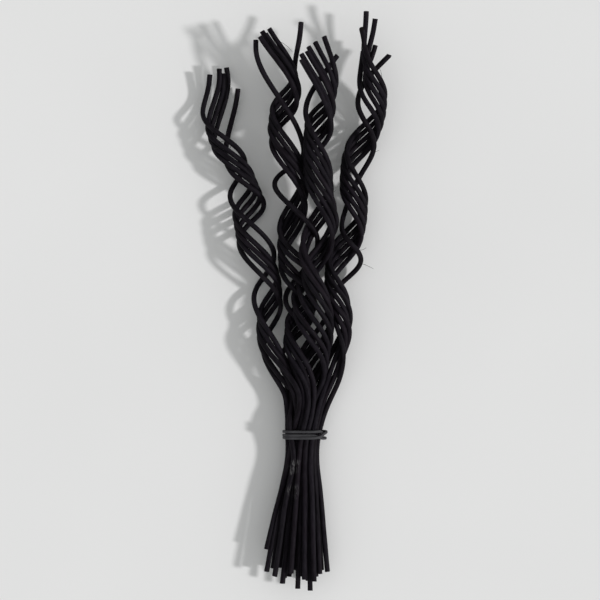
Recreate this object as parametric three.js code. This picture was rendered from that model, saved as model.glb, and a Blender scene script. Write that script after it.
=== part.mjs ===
// A bundle of curly black cane twigs, tied near the foot with a wound rubber band. It lies on a flat
// surface: +Y runs from the cut feet to the tips, +X across and +Z up, in millimetres. Its origin is
// on the surface, under the middle of the bundle. Below, heights along the bundle (y) count from the
// lowest foot, and x from the middle of the band.
//
// Above the tie the twigs part into four locks that lie side by side, and one loose twig that winds round
// the right lock on its own. The twigs of a lock are left-handed corkscrews round the same axis, each a
// little behind the one before. Below the tie the twigs are straight, and fan out to their feet.

import * as THREE from 'three';

const TWIG_THICKNESS = 5.4; // across the corners of a twig's section
const TWIG_SIDES = 5;
const TWIG_GAP = 0.25; // least clearance between two twigs
const COIL_STEP = 14.5; // length of twig between two sections, where it coils
const STEM_STEP = 50; // and where it is straight

const WAIST = { x: -1, y: 148, z: 19 }; // the bundle's narrowest place, just below the band
const SPREAD_Y = 225; // height by which every twig has reached its lock's coil
const SPACING = TWIG_THICKNESS + TWIG_GAP + 0.1; // of the twigs packed in the waist
const ROW_HEIGHT = SPACING * Math.sin(Math.PI / 3);
const FAN = { z: 17.7, deep: 1.5 }; // middle of the feet, and how far they spread upwards

// The cut feet at [x, y], row by row from the top of the packed waist, each row from left to right.
const FEET = [
  [[-30, 15], [-13, 18], [1, 12], [11, 10]],
  [[-38.5, 43], [-22, 7], [-6, 2], [7, 0], [17, 17]],
  [[-38.5, 19], [-27, 24], [-15, 14], [-2, 14], [13, 14], [25, 19]],
  [[-32, 22], [-20, 12], [-8, 20], [5, 9], [19, 20]],
  [[-25, 22], [-13, 21], [-1, 16], [11, 18]],
];

// A lock's axis is a row of [y, x, z, coil radius]. Its swings are the heights where its leading twig
// is furthest to one side, first left, then right, and so on up. A twig trails them by `lag`
// millimetres, at the foot and at the tip, and `reach` says how far out it swings, in coil radii.
// From its last swing it runs out to its tip at [x, y, z], where `lean` says how far it still leans:
// 0 is upright, and over 1 it runs straight on. With `turns` a twig keeps only so many of the swings.
const LOCKS = {
  left: {
    axis: [
      [197, -7, 20, 8],
      [222, -16, 21, 10],
      [249, -26, 22, 12],
      [301, -36, 22, 16],
      [350, -47, 21, 17],
      [405, -59, 20, 17],
      [440, -72, 19, 15],
      [497, -92, 18, 14],
      [551, -94, 16, 14],
    ],
    swings: [-150, 200, 298, 352, 407, 451, 495],
    lean: 0.3,
    twigs: [
      { lag: [0, 0], tip: [-97.5, 537.5, 19], lean: -0.3 },
      { lag: [24, 16], tip: [-88, 543.5, 19], lean: -1 },
      { lag: [34, 25], tip: [-84, 539, 15], lean: -1 },
      { lag: [43, 34], tip: [-81, 545.5, 10], lean: -2 },
      { lag: [66, 40], tip: [-67, 523.5, 10], reach: [1, 1, 1, 1, 0.95, 1.2, 0.1] },
    ],
  },
  rear: {
    axis: [
      [197, -2, 20, 8],
      [280, -5, 21, 17],
      [343, -6, 23, 17],
      [405, -13, 30, 16],
      [467, -18, 38, 15],
      [509, -20, 43, 13],
      [592, -24, 48, 12],
    ],
    swings: [-100, 190, 275, 324, 373, 435, 497, 536],
    lean: 1,
    twigs: [
      { lag: [0, 0], tip: [-2, 590, 44], lean: 0 },
      { lag: [10, 7], tip: [-37, 583, 46] },
      { lag: [20, 15], tip: [-40, 580, 51] },
      { lag: [32, 19], tip: [-43, 577, 55] },
      { lag: [43, 27], tip: [-45, 574, 60] },
      { lag: [54, 80], tip: [-48, 571, 52], reach: [1, 1, 1, 1, 1, 1, 1.15, 1.3], lean: -0.4 },
    ],
  },
  front: {
    axis: [
      [197, 8, 24, 9],
      [259, 8, 31, 19],
      [322, 13, 40, 17],
      [384, 16, 44, 15],
      [447, 14, 46, 13],
      [509, 16, 48, 15],
      [571, 18, 50, 15],
    ],
    swings: [215, 288, 356, 420, 483, 526],
    lean: 1.2,
    twigs: [
      { lag: [-4, -16], tip: [35, 556, 42], turns: 5 },
      { lag: [4, 0], tip: [19, 575, 46] },
      { lag: [16, 9], tip: [11, 569, 50] },
      { lag: [30, 18], tip: [6, 564, 53] },
      { lag: [44, 27], tip: [3, 559, 57] },
      { lag: [57, 36], tip: [-1, 556, 60] },
      { lag: [70, 46], tip: [-2, 550, 65] },
    ],
  },
  right: {
    axis: [
      [197, 20, 20, 9],
      [238, 26, 22, 10],
      [280, 35, 23, 12],
      [334, 37, 22, 13],
      [384, 50, 20, 14],
      [447, 55, 23, 13],
      [499, 70, 30, 14],
      [551, 73, 36, 10],
      [603, 72, 42, 7],
    ],
    swings: [40, 280, 338, 394, 450, 503, 555],
    lean: 0.3,
    twigs: [
      { lag: [-12, -12], tip: [60.5, 582, 52] },
      { lag: [0, 0], tip: [66, 601, 47] },
      { lag: [10, 10], tip: [71.5, 594, 41] },
      { lag: [20, 19], tip: [71, 567, 35] },
      { lag: [31, 28], tip: [65, 561, 31] },
    ],
  },
  loose: {
    axis: [
      [197, 20, 20, 9],
      [290, 36, 23, 9],
      [343, 36, 22, 23],
      [392, 51, 20, 9],
      [459, 58, 23, 15],
      [512, 70, 30, 14],
    ],
    swings: [100, 240, 292, 343, 392, 459, 512],
    lean: 1.4,
    twigs: [{ lag: [0, 0], tip: [89, 557, 36] }],
  },
};
const TIP_TURN = 2; // how far a twig still turns, in radians, between its last swing and its tip

const BAND = {
  y: 162, // height of the band's middle turn
  thickness: 2.6,
  turns: 3,
  pitch: 3.3, // between two turns that lie side by side
  skew: 0.3, // how far the middle turn lies towards the foot
  lift: 1.8, // how far the turns stand off where they cross
  crossAt: 0.09, // place of the crossing, as a share of a turn from the right side towards the top
  crossWidth: 0.12, // and how far it reaches each way
  gap: 0.5, // between the band and the twigs
  sides: 6,
  sections: 90,
};

const CANE = { color: 0x1a171b, roughness: 0.55 };
const RUBBER = { color: 0x37393c, roughness: 0.7 };

const mix = (a, b, t) => a + (b - a) * t;
const smooth = (t) => THREE.MathUtils.smoothstep(t, 0, 1);

// A smooth curve through rows of numbers, looked up by each row's first number.
function through(rows) {
  const heights = rows.map((row) => row[0]);
  const values = rows.flatMap((row) => row.slice(1));
  const curve = new THREE.CubicInterpolant(heights, values, rows[0].length - 1);
  return (y) => [...curve.evaluate(THREE.MathUtils.clamp(y, heights[0], heights.at(-1)))];
}

// The coiling stretch of a twig: its place in its lock at height y.
function coilOf(lock, twig) {
  const axis = through(lock.axis);
  const swings = lock.swings
    .slice(0, twig.turns)
    .map((y, i) => y - mix(...twig.lag, i / (lock.swings.length - 1)));
  const angle = through(swings.map((y, i) => [y, Math.PI * (i - 1)]));
  const reach = through(swings.map((y, i) => [y, twig.reach?.[i] ?? 1]));
  const lastSwing = swings.at(-1);
  const lean = twig.lean ?? lock.lean;
  const coilX = (y) => {
    const [x, , radius] = axis(y);
    return x + reach(y)[0] * radius * Math.cos(angle(y)[0]);
  };
  return (y) => {
    const [, z, radius] = axis(y);
    if (y < lastSwing) return [coilX(y), z + radius * Math.sin(angle(y)[0])];
    const t = (y - lastSwing) / (twig.tip[1] - lastSwing);
    const toTip = t * t * (3 - 2 * t) + lean * t * t * (t - 1);
    const turned = angle(lastSwing)[0] + TIP_TURN * t;
    const coilZ = z + radius * Math.sin(turned);
    return [mix(coilX(lastSwing), twig.tip[0], toTip), mix(coilZ, twig.tip[2], smooth(t))];
  };
}

// The places of the packed twigs in the waist, column by column from the left, each from the bottom.
function waistColumns() {
  const places = FEET.flatMap((row, i) =>
    row.map((foot, j) => ({
      x: (j - (row.length - 1) / 2) * SPACING,
      z: ((FEET.length - 1) / 2 - i) * ROW_HEIGHT,
      foot,
    })),
  );
  places.sort((a, b) => a.x - b.x || a.z - b.z);
  return [...Map.groupBy(places, (place) => place.x).values()];
}

// The twigs go down into the waist in the order that they have where the coils begin.
function sharePlaces(twigs) {
  const start = (twig) => twig.coil(SPREAD_Y);
  const waiting = [...twigs].sort((a, b) => start(a)[0] - start(b)[0]);
  for (const column of waistColumns()) {
    const group = waiting.splice(0, column.length).sort((a, b) => start(a)[1] - start(b)[1]);
    group.forEach((twig, i) => (twig.place = column[i]));
  }
}

// A twig's centre line from its foot to its tip, before the twigs are pushed apart.
function centreAt(twig, y) {
  const { place, coil } = twig;
  if (y < WAIST.y) {
    const t = (WAIST.y - y) / (WAIST.y - place.foot[1]);
    const x = mix(WAIST.x + place.x, place.foot[0], t);
    return new THREE.Vector3(x, y, mix(WAIST.z + place.z, FAN.z + place.z * FAN.deep, t));
  }
  const [x, z] = coil(y);
  const t = smooth((y - WAIST.y) / (SPREAD_Y - WAIST.y));
  return new THREE.Vector3(mix(WAIST.x + place.x, x, t), y, mix(WAIST.z + place.z, z, t));
}

// Points along a twig: a few up its straight stem to the waist, then close together up its coil.
function stationsOf(twig) {
  const stem = evenly(twig, twig.place.foot[1], WAIST.y, STEM_STEP);
  return [...stem, ...evenly(twig, WAIST.y, twig.tip[1], COIL_STEP).slice(1)];
}

function evenly(twig, from, to, step) {
  const fine = Array.from({ length: 401 }, (_, i) => centreAt(twig, mix(from, to, i / 400)));
  const travelled = [0];
  for (let i = 1; i < fine.length; i++) travelled.push(travelled[i - 1] + fine[i].distanceTo(fine[i - 1]));
  const count = Math.round(travelled.at(-1) / step);
  const lookUp = through(fine.map((point, i) => [travelled[i], ...point.toArray()]));
  return Array.from({ length: count + 1 }, (_, i) =>
    new THREE.Vector3(...lookUp((travelled.at(-1) * i) / count)),
  );
}

// How far along segments ab and cd (each 0 to 1) they come nearest to each other.
function nearest(a, b, c, d) {
  const ab = b.clone().sub(a);
  const cd = d.clone().sub(c);
  const ca = a.clone().sub(c);
  const abab = ab.lengthSq();
  const cdcd = cd.lengthSq();
  const abcd = ab.dot(cd);
  const across = abab * cdcd - abcd * abcd;
  const clamp = (t) => THREE.MathUtils.clamp(t, 0, 1);
  let s = across > 1e-9 ? clamp((abcd * cd.dot(ca) - cdcd * ab.dot(ca)) / across) : 0.5;
  let t = (abcd * s + cd.dot(ca)) / cdcd;
  if (t < 0 || t > 1) {
    t = clamp(t);
    s = clamp((abcd * t - ab.dot(ca)) / abab);
  }
  return [s, t];
}

// Moves the piece of line between points i and i + 1 by push, at s along it. The stems stand fast.
function shift(line, i, s, push) {
  const share = 1 / (s * s + (1 - s) * (1 - s));
  if (line[i].y > WAIST.y + 1) line[i].addScaledVector(push, (1 - s) * share);
  if (line[i + 1].y > WAIST.y + 1) line[i + 1].addScaledVector(push, s * share);
}

// Pushes two twigs apart where they are closer than they may be, and gives how much they were short.
function partTwigs(one, other, least) {
  let worst = 0;
  let first = 0;
  for (let i = 0; i < one.length - 1; i++) {
    const low = Math.min(one[i].y, one[i + 1].y) - least;
    const high = Math.max(one[i].y, one[i + 1].y) + least;
    while (first < other.length - 2 && other[first + 1].y < low) first++;
    for (let j = first; j < other.length - 1 && Math.min(other[j].y, other[j + 1].y) < high; j++) {
      const [s, t] = nearest(one[i], one[i + 1], other[j], other[j + 1]);
      const push = one[i].clone().lerp(one[i + 1], s).sub(other[j].clone().lerp(other[j + 1], t));
      const short = least - push.length();
      if (short <= 0) continue;
      worst = Math.max(worst, short);
      push.setY(0).setLength(short * 0.4);
      shift(one, i, s, push);
      shift(other, j, t, push.negate());
    }
  }
  return worst;
}

// Lets the twigs settle side by side: none closer than the gap, none below the surface, and each
// still a smooth line near its own first route.
function settle(lines) {
  const least = TWIG_THICKNESS + TWIG_GAP;
  const routes = lines.map((line) => line.map((point) => point.clone()));
  for (let round = 0; round < 500; round++) {
    let worst = 0;
    for (let i = 0; i < lines.length; i++) {
      for (let j = i + 1; j < lines.length; j++) {
        worst = Math.max(worst, partTwigs(lines[i], lines[j], least + 0.02));
      }
    }
    if (worst < 0.1) return;
    const easing = 0.3 * (1 - round / 500) ** 2;
    lines.forEach((line, i) => {
      const moved = line.map((point, k) => point.clone().sub(routes[i][k]));
      line.forEach((point, k) => {
        if (point.y < WAIST.y + 1) return;
        const wanted = moved[k - 1].clone().add(moved[Math.min(k + 1, line.length - 1)]);
        point.addScaledVector(wanted.multiplyScalar(0.5).sub(moved[k]), easing);
        point.z = Math.max(point.z, TWIG_THICKNESS / 2);
      });
    });
  }
}

// A curve whose points are taken as they are, so that a solid swept along it has a section at each.
class Stations extends THREE.Curve {
  constructor(points) {
    super();
    this.points = points;
  }
  getPointAt(u, target = new THREE.Vector3()) {
    return target.copy(this.points[Math.round(u * (this.points.length - 1))]);
  }
  getTangentAt(u, target = new THREE.Vector3()) {
    const last = this.points.length - 1;
    const k = Math.round(u * last);
    const after = this.points[Math.min(k + 1, last)];
    return target.subVectors(after, this.points[Math.max(k - 1, 0)]).normalize();
  }
}

function polygon(sides, radius) {
  const corners = Array.from({ length: sides }, (_, i) => {
    const angle = (2 * Math.PI * i) / sides;
    return new THREE.Vector2(radius * Math.cos(angle), radius * Math.sin(angle));
  });
  return new THREE.Shape(corners);
}

function makeTwig(name, points) {
  const geometry = new THREE.ExtrudeGeometry(polygon(TWIG_SIDES, TWIG_THICKNESS / 2), {
    steps: points.length - 1,
    extrudePath: new Stations(points),
  });
  const mesh = new THREE.Mesh(geometry, new THREE.MeshStandardMaterial(CANE));
  mesh.name = name;
  return mesh;
}

// Where a twig's settled line passes height y, seen along the bundle: its x and z.
function crossing(line, y) {
  const k = line.findIndex((point, i) => i > 0 && point.y >= y);
  const point = line[k - 1].clone().lerp(line[k], (y - line[k - 1].y) / (line[k].y - line[k - 1].y));
  return new THREE.Vector2(point.x, point.z);
}

// The corners of the smallest convex outline round some points, turning from +X to +Z.
function hullOf(points) {
  const sorted = [...points].sort((a, b) => a.x - b.x || a.y - b.y);
  const turns = (a, b, c) => (b.x - a.x) * (c.y - a.y) - (b.y - a.y) * (c.x - a.x);
  const chain = (list) => {
    const kept = [];
    for (const point of list) {
      while (kept.length > 1 && turns(kept.at(-2), kept.at(-1), point) <= 0) kept.pop();
      kept.push(point);
    }
    return kept.slice(0, -1);
  };
  return [...chain(sorted), ...chain(sorted.reverse())];
}

// A taut outline round some points at a distance from them, starting at the right.
function outlineRound(points, distance) {
  const hull = hullOf(points);
  const right = hull.reduce((best, point, i) => (point.x > hull[best].x ? i : best), 0);
  const corners = [...hull.slice(right), ...hull.slice(0, right)];
  const outline = new THREE.Path();
  corners.forEach((corner, i) => {
    const before = corners.at(i - 1);
    const after = corners[(i + 1) % corners.length];
    const from = corner.clone().sub(before).angle() - Math.PI / 2;
    const to = after.clone().sub(corner).angle() - Math.PI / 2;
    outline.absarc(corner.x, corner.y, distance, from, to, false);
  });
  outline.closePath();
  outline.arcLengthDivisions = 400;
  return outline;
}

// The band's middle line. Its turns lie side by side round the bundle, and cross over at one place,
// where each moves on by one, so that the last one closes on the first.
class Winding extends THREE.Curve {
  constructor(outline) {
    super();
    this.outline = outline;
    this.arcLengthDivisions = 1500;
  }
  getPoint(t, target = new THREE.Vector3()) {
    const wound = t * BAND.turns - BAND.crossAt;
    const whole = Math.round(wound);
    const fromCross = wound - whole;
    const moved = THREE.MathUtils.smoothstep(fromCross, -BAND.crossWidth, BAND.crossWidth);
    const phase = Math.PI / 6 + (2 * Math.PI * (whole + moved)) / BAND.turns;
    const nearness = 1 - smooth((Math.abs(fromCross) - BAND.crossWidth) / BAND.crossWidth);
    const u = THREE.MathUtils.euclideanModulo(wound + BAND.crossAt, 1);
    const place = this.outline.getPointAt(u);
    const along = this.outline.getTangentAt(u);
    const out = BAND.lift * nearness * (1 + Math.sin(phase));
    const rise = (BAND.pitch / Math.cos(Math.PI / 6)) * Math.cos(phase) + BAND.skew * Math.sin(phase);
    return target.set(place.x + along.y * out, BAND.y + rise, place.y - along.x * out);
  }
}

function makeBand(lines) {
  const heights = [BAND.y - BAND.pitch, BAND.y, BAND.y + BAND.pitch];
  const centres = lines.flatMap((line) => heights.map((y) => crossing(line, y)));
  const outline = outlineRound(centres, (TWIG_THICKNESS + BAND.thickness) / 2 + BAND.gap);
  const path = new Winding(outline);
  const geometry = new THREE.TubeGeometry(path, BAND.sections, BAND.thickness / 2, BAND.sides, true);
  const mesh = new THREE.Mesh(geometry, new THREE.MeshStandardMaterial(RUBBER));
  mesh.name = 'rubber_band';
  return mesh;
}

const bundle = new THREE.Group();
const twigs = Object.entries(LOCKS).flatMap(([side, lock]) =>
  lock.twigs.map((twig, i) => ({ ...twig, name: `${side}_twig_${i + 1}`, coil: coilOf(lock, twig) })),
);
sharePlaces(twigs);
const lines = twigs.map(stationsOf);
settle(lines);
twigs.forEach((twig, i) => bundle.add(makeTwig(twig.name, lines[i])));
bundle.add(makeBand(lines));
const box = new THREE.Box3().setFromObject(bundle, true);
const middle = box.getCenter(new THREE.Vector3());
bundle.position.set(-middle.x, -middle.y, -box.min.z);

export default bundle;
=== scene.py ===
"""The looks of a bundle of curly black cane twigs that lies on a pale floor, tied with a rubber band.

Each twig's middle line is found from its CAD solid. A round twig with lengthwise ridges and rough cut
ends is built along it and stands for the solid. The band is rebuilt in the same way, and loose fibres
are added. Lengths are in metres, unless a name or comment gives another unit.
"""

import math

import bpy
import numpy as np
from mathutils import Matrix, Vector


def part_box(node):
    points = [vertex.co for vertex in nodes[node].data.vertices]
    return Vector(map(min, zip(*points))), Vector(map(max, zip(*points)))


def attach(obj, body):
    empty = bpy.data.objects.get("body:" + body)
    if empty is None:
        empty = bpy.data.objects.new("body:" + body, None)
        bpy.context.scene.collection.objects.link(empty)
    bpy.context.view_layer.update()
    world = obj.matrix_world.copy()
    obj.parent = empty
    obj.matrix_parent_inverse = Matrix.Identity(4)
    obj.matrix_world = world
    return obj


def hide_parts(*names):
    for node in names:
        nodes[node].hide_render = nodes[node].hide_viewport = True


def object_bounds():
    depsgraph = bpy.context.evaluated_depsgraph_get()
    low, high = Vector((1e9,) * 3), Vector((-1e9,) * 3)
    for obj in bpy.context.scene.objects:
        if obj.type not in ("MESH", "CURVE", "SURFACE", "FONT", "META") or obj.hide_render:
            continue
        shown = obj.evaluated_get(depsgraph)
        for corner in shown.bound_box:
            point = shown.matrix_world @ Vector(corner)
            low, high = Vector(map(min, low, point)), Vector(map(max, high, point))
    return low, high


MM = 0.001
FULL_TURN = 2 * math.pi
FINE_CUTS = 4000  # points at which a line's length is measured

TWIG_RADIUS = 2.68 * MM
TWIG_SIDES = 20
TWIG_STEP = 2.2 * MM  # between two rings along a twig
CAD_TWIG_SIDE = 4 * MM  # over the side of a CAD twig's section, and under the length between sections
TWIG_SEED = 1000
# A curve's chords lie inside it on average by the second difference of its points over this.
CHORD_PARTS = 12

WAVER = 0.022  # how much a twig's thickness wavers, as a share of its radius
WAVER_LENGTHS = (0.031, 0.083, 0.19)  # lengths of the waves, here and in the next two
OVAL = 0.018  # how far a section is from round, as a share of its radius
OVAL_LENGTHS = (0.14,)
RIDGE_DEPTH = 0.035 * MM  # from a lengthwise groove to the ridge beside it
RIDGE_LENGTHS = (0.05, 0.12, 0.3)

RIM = 0.35 * MM  # rounding at the rim of a cut end
CUT_SKEW = 0.12  # the most that a cut leans, as a share of the radius
CUT_ROUGHNESS = 0.04 * MM
CUT_MIDDLE = 0.3  # how deep the middle of a cut is sunk, as a share of RIM
# The rings of points on a cut end, from near its middle to its rim: the share of the radius, how deep
# it is sunk as a share of RIM, and how much of the cut grain it shows.
CUT_RINGS = [
    (0.3, 0.25, 1.0),
    (0.62, 0.16, 1.0),
    (0.9, 0.02, 1.0),
    (0.985, 0.28, 0.5),
    (1.0, 1.0, 0.0),
]
SHARP_ANGLE = math.radians(50)
GRAIN_SHIFT = 7.3  # lengthwise, between the grain of one twig and of the next

CAD_BAND_SIDE = 1.6 * MM
BAND_STEP = 0.7 * MM
BAND_WIDTH = 2.7 * MM  # along the bundle
BAND_THICKNESS = 1.9 * MM
BAND_SIDES = 20
BAND_SEED = 77
BAND_SQUARENESS = 3  # 2 makes an oval section, and more makes a squarer one
BAND_SWELL = 0.04  # how much the band's section swells, as a share
BAND_SWELLS = (5, 13, 31)  # waves of swelling in the band's whole length
BAND_NICKS = 0.02 * MM

# Loose fibres: the twig each grows from, the place it leaves at (mm along the bundle), the direction
# it goes in on the whole (degrees from +X towards +Y), its length (mm), and how far it turns on its way
# (degrees).
FIBRES = [
    ("rear_twig_2", 271, -38, 20, -30),
    ("loose_twig_1", 136, 52, 27, -55),
    ("loose_twig_1", 112, 125, 10, -30),
    ("loose_twig_1", 40, -25, 13, -12),
    ("loose_twig_1", 52, 20, 8, 40),
    ("loose_twig_1", 64, 75, 12, 60),
    ("right_twig_4", 128, 30, 12, -60),
    ("right_twig_1", 226, 100, 13, 35),
    ("left_twig_1", 168, 200, 9, 40),
    ("left_twig_1", 163, 222, 10, -50),
    ("left_twig_2", 160, 190, 9, 35),
    ("left_twig_5", -34, 170, 9, -45),
    ("front_twig_1", 112, 20, 8, 60),
]
FIBRE_RADIUS = 0.24 * MM
FIBRE_TIP = 0.6  # radius at the tip, as a share of that at the root
FIBRE_SIDES = 5
FIBRE_STEPS = 12
FIBRE_SEED = 500
FIBRE_ROOT = 0.8  # how far from the twig's middle a fibre starts, as a share of the twig's radius
FIBRE_SWING = 0.25  # how steeply a fibre swings up and down
FIBRE_SWING_END = 5  # radians of swing from root to tip
FIBRE_KINK = 0.06 * MM

# Places where the dye is rubbed, and how far round each it shows.
RUBBED = [
    ((-4.5 * MM, -173 * MM, 33 * MM), 9 * MM),
    ((0.5 * MM, -168 * MM, 33 * MM), 6 * MM),
    ((-2 * MM, -197 * MM, 34 * MM), 9 * MM),
]

FLOOR_HALF_WIDTH = 12.0
SUN_FROM = (1.9, -0.35, 1.55)  # towards the origin
SUN_ANGLE = 0.09  # radians, how wide the sun looks, which sets how soft its shadows are
SUN_STRENGTH = 1.83
SUN_COLOUR = (1.0, 0.99, 0.99)
SKY_STRENGTH = 0.58
SKY_COLOUR = (0.985, 0.998, 0.99, 1)

VIEW_WIDTH = 624 * MM  # what the camera takes in, at VIEW_HEIGHT over the floor
VIEW_HEIGHT = 26 * MM
CAMERA_AIM = (4.6 * MM, 1.6 * MM)  # the camera looks straight down on this point
CAMERA_LENS = 200  # mm
CAMERA_SENSOR = 36  # mm
CAMERA_REACH = 100  # beyond it nothing shows


def middle_line(node, longest_side):
    """The middles of the sections of a solid swept along a line, in order from one end, or round the
    loop. A section's sides are shorter than longest_side, and its neighbours are further off."""
    mesh = node.data
    corners = np.array([vertex.co[:] for vertex in mesh.vertices])
    micrometres = np.round(corners * 1e6)
    _, first, merged = np.unique(micrometres, axis=0, return_index=True, return_inverse=True)
    merged = merged.ravel()
    corners = corners[first]
    edges = np.unique(np.sort([[merged[i] for i in edge.vertices] for edge in mesh.edges], axis=1), axis=0)
    edges = edges[edges[:, 0] != edges[:, 1]]
    lengths = np.linalg.norm(corners[edges[:, 0]] - corners[edges[:, 1]], axis=1)
    section = np.arange(len(corners))
    for _ in range(len(corners)):
        before = section.copy()
        for a, b in edges[lengths < longest_side]:
            section[a] = section[b] = min(section[a], section[b])
        if (before == section).all():
            break
    labels = np.unique(section)
    middles = {label: corners[section == label].mean(0) for label in labels}
    beside = {label: set() for label in labels}
    for a, b in edges:
        if section[a] != section[b]:
            beside[section[a]].add(section[b])
            beside[section[b]].add(section[a])
    ends = [label for label in labels if len(beside[label]) == 1]
    here = min(ends, key=lambda label: middles[label][1]) if ends else labels[0]
    line = [here]
    while True:
        further = [label for label in sorted(beside[here]) if label not in line]
        if not further:
            break
        here = further[0]
        line.append(here)
    return np.array([middles[label] for label in line])


def spline(points, step, closed=False):
    """A smooth line through points, cut into equal lengths of about step, and how far along it each
    cut is. A closed line ends on the point where it starts."""
    if closed:
        wrap = 8  # points repeated past each end, so that the line is smooth where it closes
        points = np.vstack([points[-wrap:], points, points[: wrap + 1]])
    gaps = np.linalg.norm(np.diff(points, axis=0), axis=1)
    at = np.concatenate([[0], np.cumsum(gaps)])
    count = len(points)
    matrix = np.eye(count)
    target = np.zeros((count, 3))
    slopes = np.diff(points, axis=0) / gaps[:, None]
    for i in range(1, count - 1):
        matrix[i, i - 1 : i + 2] = gaps[i - 1], 2 * (gaps[i - 1] + gaps[i]), gaps[i]
        target[i] = 6 * (slopes[i] - slopes[i - 1])
    bends = np.linalg.solve(matrix, target)

    def place(where):
        k = np.clip(np.searchsorted(at, where, side="right") - 1, 0, count - 2)
        gap = gaps[k][:, None]
        left = (at[k + 1] - where)[:, None]
        right = (where - at[k])[:, None]
        cubic = (bends[k] * left**3 + bends[k + 1] * right**3) / (6 * gap)
        straight_left = (points[k] / gap - bends[k] * gap / 6) * left
        straight_right = (points[k + 1] / gap - bends[k + 1] * gap / 6) * right
        return cubic + straight_left + straight_right

    start, end = (at[wrap], at[-1 - wrap]) if closed else (at[0], at[-1])
    fine_at = np.linspace(start, end, FINE_CUTS)
    fine = place(fine_at)
    travelled = np.concatenate([[0], np.cumsum(np.linalg.norm(np.diff(fine, axis=0), axis=1))])
    pieces = max(2, round(travelled[-1] / step))
    wanted = np.linspace(0, travelled[-1], pieces + 1)
    return place(np.interp(wanted, travelled, fine_at)), wanted


def frames(line):
    """Directions along a line and two across it. Those across turn round the line as little as they can."""
    along = np.gradient(line, axis=0)
    along /= np.linalg.norm(along, axis=1)[:, None]
    across = np.zeros_like(line)
    start = np.cross(along[0], (0, 0, 1))
    across[0] = start / np.linalg.norm(start)
    for i in range(1, len(line)):
        side = across[i - 1] - along[i] * np.dot(across[i - 1], along[i])
        across[i] = side / np.linalg.norm(side)
    return along, across, np.cross(along, across)


def around(sides):
    """The angles of the corners of a section with this many sides."""
    return np.arange(sides) * FULL_TURN / sides


def waves(at, lengths, random):
    """A smooth random line over at, mostly between -1 and 1, with waves of these lengths."""
    total = sum(np.sin(FULL_TURN * (at / length + random.random())) for length in lengths)
    return total / math.sqrt(len(lengths))


def add_mesh(name, points, faces, grain, end):
    """A mesh object. Grain is each point's place in its own straightened piece, and end is 1 on cuts."""
    mesh = bpy.data.meshes.new(name)
    mesh.from_pydata([tuple(point) for point in points], [], faces)
    mesh.attributes.new("grain", "FLOAT_VECTOR", "POINT").data.foreach_set("vector", np.ravel(grain))
    mesh.attributes.new("end", "FLOAT", "POINT").data.foreach_set("value", np.ravel(end))
    mesh.polygons.foreach_set("use_smooth", [True] * len(faces))
    piece = bpy.data.objects.new(name, mesh)
    bpy.context.scene.collection.objects.link(piece)
    return piece


def skin(rings, sides, closed=False):
    """Faces between neighbouring rings of points. Without closed, two points follow the rings, the
    middles of the first end and of the last."""
    faces = []
    for i in range(rings if closed else rings - 1):
        here = i * sides
        there = (i + 1) % rings * sides
        for j in range(sides):
            after = (j + 1) % sides
            faces.append((here + j, here + after, there + after, there + j))
    if not closed:
        first = rings * sides
        last = (rings - 1) * sides
        for j in range(sides):
            after = (j + 1) % sides
            faces.append((first, after, j))
            faces.append((first + 1, last + j, last + after))
    return faces


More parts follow.
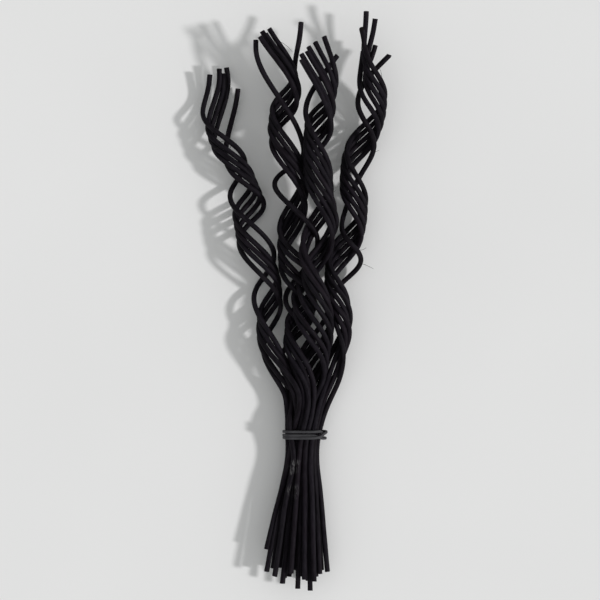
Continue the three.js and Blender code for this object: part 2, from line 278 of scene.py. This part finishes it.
def make_twig(name, node, index, low, high):
    """A round twig on the middle line of its CAD solid, kept between the corners low and high, and
    that line."""
    random = np.random.default_rng(TWIG_SEED + index)
    points = middle_line(node, CAD_TWIG_SIDE)
    bend = np.zeros_like(points)
    bend[1:-1] = points[:-2] - 2 * points[1:-1] + points[2:]
    line, at = spline(points + bend / CHORD_PARTS, TWIG_STEP)
    margin = TWIG_RADIUS * (1 + 2 * WAVER)
    line[:, 0] = np.clip(line[:, 0], low[0] + margin, high[0] - margin)
    line[:, 2] = np.clip(line[:, 2], low[2] + margin, high[2] - margin)
    along, across, over = frames(line)

    angles = around(TWIG_SIDES)
    radius = TWIG_RADIUS * (1 + WAVER * waves(at, WAVER_LENGTHS, random)[:, None])
    oval = OVAL * TWIG_RADIUS * np.cos(2 * angles[None] + 2 * waves(at, OVAL_LENGTHS, random)[:, None])
    ridges = np.stack([waves(at, RIDGE_LENGTHS, random) for _ in angles], 1) * RIDGE_DEPTH / 2
    radius = radius + oval + ridges

    skew = random.uniform(0.0, CUT_SKEW, 2)
    turn = random.uniform(0, FULL_TURN, 2)
    tilt = [skew[k] * TWIG_RADIUS * (1 + np.cos(angles - turn[k])) for k in (0, 1)]
    rings = []
    grain = []
    end = []

    def add_ring(i, share, sunk, cut, inward=0, leaning=0.0):
        """Adds the ring at station i, drawn in to share of its radius. Cut is how much of the cut grain
        it shows. Inward is 1 on the first end and -1 on the last, where the ring is sunk and leans."""
        out = np.outer(radius[i] * share * np.cos(angles), across[i])
        up = np.outer(radius[i] * share * np.sin(angles), over[i])
        rough = CUT_ROUGHNESS if cut else 0.0
        chips = rough * random.uniform(-1, 0, TWIG_SIDES)
        shift = inward * (leaning * share + sunk) - inward * chips
        rings.append(line[i] + out + up + np.outer(shift, along[i]))
        flat = np.stack([np.cos(angles), np.sin(angles)], 1) * TWIG_RADIUS * share
        lengthwise = np.full((TWIG_SIDES, 1), at[i] + inward * sunk + GRAIN_SHIFT * index)
        grain.append(np.hstack([flat, lengthwise]))
        end.append(np.full(TWIG_SIDES, cut))

    last = len(line) - 1
    for share, sunk, cut in CUT_RINGS:
        add_ring(0, share, sunk * RIM, cut, 1, tilt[0])
    for i in range(1, last):
        add_ring(i, 1.0, 0.0, 0.0)
    for share, sunk, cut in reversed(CUT_RINGS):
        add_ring(last, share, sunk * RIM, cut, -1, tilt[1])
    middles = [line[0] + along[0] * CUT_MIDDLE * RIM, line[last] - along[last] * CUT_MIDDLE * RIM]
    middles_grain = [[0, 0, at[i] + GRAIN_SHIFT * index] for i in (0, last)]
    points = np.vstack([*rings, middles])
    points[:, 1] = np.clip(points[:, 1], low[1], high[1])
    faces = skin(len(rings), TWIG_SIDES)
    grain = np.vstack([*grain, middles_grain])
    end = np.concatenate([*end, [1.0, 1.0]])
    piece = add_mesh(f"cane_{name}", points, faces, grain, end)
    piece.data.set_sharp_from_angle(angle=SHARP_ANGLE)
    return piece, line


def make_band(node, waist):
    """The wound band. Its flat side faces the line along the bundle through waist."""
    line, at = spline(middle_line(node, CAD_BAND_SIDE), BAND_STEP, closed=True)
    line = line[:-1]
    at = at[:-1]
    random = np.random.default_rng(BAND_SEED)
    along = np.roll(line, -1, axis=0) - np.roll(line, 1, axis=0)
    along /= np.linalg.norm(along, axis=1)[:, None]
    out = line - waist
    out[:, 1] = 0
    out -= along * (out * along).sum(1)[:, None]
    out /= np.linalg.norm(out, axis=1)[:, None]
    wide = np.cross(along, out)
    angles = around(BAND_SIDES)
    cos = np.cos(angles)
    sin = np.sin(angles)
    square = (np.abs(cos) ** BAND_SQUARENESS + np.abs(sin) ** BAND_SQUARENESS) ** (-1 / BAND_SQUARENESS)
    length = at[-1] + BAND_STEP
    swell = 1 + BAND_SWELL * waves(at, [length / count for count in BAND_SWELLS], random)[:, None]
    nicks = BAND_NICKS * random.uniform(-1, 1, (len(line), BAND_SIDES))
    flat = BAND_WIDTH / 2 * (cos * square)[None] * swell + nicks * cos
    thick = BAND_THICKNESS / 2 * (sin * square)[None] * swell + nicks * sin
    points = line[:, None] + flat[..., None] * wide[:, None] + thick[..., None] * out[:, None]
    grain = np.stack([flat, thick, np.repeat(at[:, None], BAND_SIDES, 1)], -1)
    faces = skin(len(line), BAND_SIDES, closed=True)
    end = np.zeros(points.shape[:2])
    return add_mesh("band_wound", points.reshape(-1, 3), faces, grain.reshape(-1, 3), end)


def make_fibres(lines):
    """Thin loose fibres that stand off the twigs, all in one mesh."""
    points = []
    faces = []
    angles = around(FIBRE_SIDES)
    for k, (twig, place, angle, length, turn) in enumerate(FIBRES):
        line = lines[twig]
        middle = line[np.argmin(np.abs(line[:, 1] - place * MM))]
        random = np.random.default_rng(FIBRE_SEED + k)
        leaving = math.radians(angle)
        heading = leaving + math.radians(turn) * np.linspace(-0.5, 0.5, FIBRE_STEPS)
        rise = FIBRE_SWING * np.sin(np.linspace(0, FIBRE_SWING_END, FIBRE_STEPS) + k)
        way = np.stack([np.cos(heading), np.sin(heading), rise], 1)
        off = np.array([math.cos(leaving), math.sin(leaving), 0])
        start = middle + off * TWIG_RADIUS * FIBRE_ROOT
        path = start + np.cumsum(way, axis=0) * length * MM / FIBRE_STEPS
        path += random.normal(0, FIBRE_KINK, path.shape)
        _, across, over = frames(path)
        thick = FIBRE_RADIUS * np.linspace(1, FIBRE_TIP, FIBRE_STEPS)
        ring = thick[:, None, None] * (
            np.cos(angles)[None, :, None] * across[:, None] + np.sin(angles)[None, :, None] * over[:, None]
        )
        base = len(points)
        points.extend((path[:, None] + ring).reshape(-1, 3))
        points.extend([path[0], path[-1]])
        faces.extend(tuple(base + i for i in face) for face in skin(FIBRE_STEPS, FIBRE_SIDES))
    points = np.array(points)
    return add_mesh("loose_fibres", points, faces, points, np.zeros(len(points)))


class Looks:
    """Builds a material's node tree."""

    def __init__(self, name):
        self.material = bpy.data.materials.new(name)
        self.material.use_nodes = True
        self.tree = self.material.node_tree
        self.shader = self.tree.nodes["Principled BSDF"]

    def fill(self, sockets, inputs):
        """Links or sets sockets, by name or number."""
        for key, value in inputs.items():
            if isinstance(value, bpy.types.NodeSocket):
                self.tree.links.new(value, sockets[key])
            else:
                sockets[key].default_value = value

    def add(self, kind, inputs, **settings):
        node = self.tree.nodes.new(kind)
        for key, value in settings.items():
            setattr(node, key, value)
        self.fill(node.inputs, inputs)
        return node

    def attribute(self, name, output):
        return self.add("ShaderNodeAttribute", {}, attribute_name=name).outputs[output]

    def place(self):
        return self.add("ShaderNodeTexCoord", {}).outputs["Object"]

    def stretched(self, vector, scale):
        return self.add("ShaderNodeMapping", {"Vector": vector, "Scale": scale}).outputs[0]

    def noise(self, vector, scale, detail, roughness=0.55):
        inputs = {"Vector": vector, "Scale": scale, "Detail": detail, "Roughness": roughness}
        return self.add("ShaderNodeTexNoise", inputs).outputs[0]

    def streaks(self, vector, across, lengthwise, detail, roughness=0.55):
        """Noise with this many waves to the metre across the grain and lengthwise."""
        return self.noise(self.stretched(vector, (across, across, lengthwise)), 1.0, detail, roughness)

    def ramp(self, value, stops):
        node = self.add("ShaderNodeValToRGB", {"Fac": value})
        elements = node.color_ramp.elements
        while len(elements) < len(stops):
            elements.new(0.5)
        for element, (position, colour) in zip(elements, stops):
            element.position = position
            element.color = (*colour, 1)
        return node.outputs[0]

    def spread(self, value, low, high, to_low=0.0, to_high=1.0):
        inputs = {"Value": value, "From Min": low, "From Max": high, "To Min": to_low, "To Max": to_high}
        return self.add("ShaderNodeMapRange", inputs).outputs[0]

    def blend(self, share, base, tint):
        """Base with a share of tint, which is an output or a colour. A Mix node has a pair of inputs
        for each kind of value, and 6 and 7 are those for colours."""
        if not isinstance(tint, bpy.types.NodeSocket):
            tint = (*tint, 1)
        return self.add("ShaderNodeMix", {0: share, 6: base, 7: tint}, data_type="RGBA").outputs[2]

    def combine(self, operation, a, b):
        return self.add("ShaderNodeMath", {0: a, 1: b}, operation=operation).outputs[0]

    def bump(self, height, distance, strength):
        inputs = {"Height": height, "Distance": distance, "Strength": strength}
        return self.add("ShaderNodeBump", inputs).outputs[0]

    def surface(self, inputs):
        self.fill(self.shader.inputs, inputs)


def cane_material():
    looks = Looks("black_cane")
    grain = looks.attribute("grain", "Vector")
    fibres = looks.streaks(grain, 1900, 110, 5.0, 0.7)
    strands = looks.streaks(grain, 620, 14, 2.0)
    tone = looks.streaks(grain, 120, 9, 2.0)
    wear = looks.streaks(grain, 420, 90, 5.0, 0.7)
    shade = looks.streaks(grain, 90, 4, 1.0)
    flecks = looks.streaks(grain, 1300, 260, 3.0)

    dyes = [(0.35, (0.0026, 0.002, 0.0034)), (0.52, (0.0068, 0.0052, 0.0084)), (0.7, (0.023, 0.0185, 0.026))]
    colour = looks.ramp(fibres, dyes)
    warm = (0.0092, 0.0056, 0.0086)
    colour = looks.blend(looks.spread(tone, 0.45, 0.75), colour, warm)
    dark = (0.0018, 0.0014, 0.0022)
    colour = looks.blend(looks.spread(shade, 0.35, 0.65, 0.0, 0.75), colour, dark)
    worn = (0.0145, 0.0122, 0.0165)
    colour = looks.blend(looks.spread(wear, 0.42, 0.66, 0.0, 0.8), colour, worn)
    scuffed = (0.04, 0.036, 0.038)
    fade = looks.spread(tone, 0.35, 0.6, 1.0, 0.25)
    scuffs = looks.combine("MULTIPLY", looks.spread(wear, 0.66, 0.78), fade)
    colour = looks.blend(looks.combine("MULTIPLY", scuffs, 0.3), colour, scuffed)

    bare = (0.1, 0.097, 0.098)
    place = looks.place()
    for spot, size in RUBBED:
        apart = looks.add("ShaderNodeVectorMath", {0: place, 1: spot}, operation="DISTANCE").outputs["Value"]
        near = looks.spread(apart, size * 0.4, size, 1.0, 0.0)
        rubbed = looks.combine("MULTIPLY", near, looks.spread(flecks, 0.5, 0.62))
        colour = looks.blend(rubbed, colour, bare)

    piths = [(0.35, (0.002, 0.0018, 0.002)), (0.6, (0.012, 0.0095, 0.009)), (0.85, (0.03, 0.025, 0.023))]
    colour = looks.blend(looks.attribute("end", "Fac"), colour, looks.ramp(fibres, piths))
    height = looks.combine("ADD", looks.combine("MULTIPLY", fibres, 0.6), strands)
    looks.surface(
        {
            "Base Color": colour,
            "Roughness": looks.spread(strands, 0.3, 0.7, 0.56, 0.76),
            "Specular IOR Level": 0.07,
            "Normal": looks.bump(height, 0.16 * MM, 0.8),
        }
    )
    return looks.material


def band_material():
    looks = Looks("band_rubber")
    grain = looks.attribute("grain", "Vector")
    dust = looks.streaks(grain, 1500, 600, 4.0, 0.65)
    streaks = looks.streaks(grain, 2600, 70, 3.0)
    greys = [(0.3, (0.024, 0.0235, 0.0265)), (0.6, (0.035, 0.0345, 0.0385)), (0.85, (0.058, 0.057, 0.063))]
    dusty = (0.08, 0.0785, 0.085)
    looks.surface(
        {
            "Base Color": looks.blend(looks.spread(dust, 0.55, 0.8), looks.ramp(streaks, greys), dusty),
            "Roughness": looks.spread(dust, 0.3, 0.7, 0.62, 0.82),
            "Specular IOR Level": 0.3,
            "Normal": looks.bump(looks.combine("ADD", dust, streaks), 0.06 * MM, 0.5),
        }
    )
    return looks.material


def fibre_material():
    looks = Looks("fibre")
    tone = looks.noise(looks.attribute("grain", "Vector"), 400.0, 2.0)
    looks.surface(
        {
            "Base Color": looks.ramp(tone, [(0.35, (0.006, 0.0055, 0.006)), (0.7, (0.03, 0.028, 0.028))]),
            "Roughness": looks.spread(tone, 0.3, 0.7, 0.5, 0.7),
            "Specular IOR Level": 0.2,
        }
    )
    return looks.material


def floor_material():
    looks = Looks("floor")
    tone = looks.noise(looks.place(), 3.0, 2.0)
    looks.surface(
        {
            "Base Color": looks.ramp(tone, [(0.3, (0.79, 0.79, 0.79)), (0.7, (0.81, 0.81, 0.81))]),
            "Roughness": 0.9,
            "Specular IOR Level": 0.1,
        }
    )
    return looks.material


def make_stage():
    """The floor, the light and the camera."""
    mesh = bpy.data.meshes.new("floor")
    size = FLOOR_HALF_WIDTH
    corners = [(-size, -size, 0), (size, -size, 0), (size, size, 0), (-size, size, 0)]
    mesh.from_pydata(corners, [], [(0, 1, 2, 3)])
    floor = bpy.data.objects.new("floor", mesh)
    mesh.materials.append(floor_material())
    bpy.context.scene.collection.objects.link(floor)

    key = bpy.data.lights.new("key", "SUN")
    key.angle = SUN_ANGLE
    key.energy = SUN_STRENGTH
    key.color = SUN_COLOUR
    lamp = bpy.data.objects.new("key", key)
    lamp.location = SUN_FROM
    lamp.rotation_euler = (-lamp.location).to_track_quat("-Z", "Y").to_euler()
    bpy.context.scene.collection.objects.link(lamp)

    world = bpy.data.worlds.new("studio")
    world.use_nodes = True
    background = world.node_tree.nodes["Background"]
    background.inputs["Color"].default_value = SKY_COLOUR
    background.inputs["Strength"].default_value = SKY_STRENGTH
    bpy.context.scene.world = world
    bpy.context.scene.view_settings.view_transform = "Standard"

    camera = bpy.data.cameras.new("camera")
    camera.lens = CAMERA_LENS
    camera.sensor_width = CAMERA_SENSOR
    camera.clip_end = CAMERA_REACH
    viewer = bpy.data.objects.new("camera", camera)
    viewer.location = (*CAMERA_AIM, VIEW_HEIGHT + VIEW_WIDTH * CAMERA_LENS / CAMERA_SENSOR)
    bpy.context.scene.collection.objects.link(viewer)
    bpy.context.scene.camera = viewer


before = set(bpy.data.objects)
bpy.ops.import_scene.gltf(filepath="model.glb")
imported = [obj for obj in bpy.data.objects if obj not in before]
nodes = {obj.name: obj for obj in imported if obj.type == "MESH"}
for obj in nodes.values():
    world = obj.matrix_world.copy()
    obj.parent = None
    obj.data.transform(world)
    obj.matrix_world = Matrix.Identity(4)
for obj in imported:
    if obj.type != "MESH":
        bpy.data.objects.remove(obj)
cad_box = [list(corner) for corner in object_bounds()]
make_stage()

cane = cane_material()
lines = {}
twig_names = sorted(name for name in nodes if "_twig_" in name)
for index, name in enumerate(twig_names):
    twig, lines[name] = make_twig(name, nodes[name], index, *cad_box)
    twig.data.materials.append(cane)
    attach(twig, "root")
    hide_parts(name)

band_low, band_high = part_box("rubber_band")
band = make_band(nodes["rubber_band"], (np.array(band_low) + np.array(band_high)) / 2)
band.data.materials.append(band_material())
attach(band, "root")
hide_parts("rubber_band")

fibres = make_fibres(lines)
fibres.data.materials.append(fibre_material())
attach(fibres, "root")
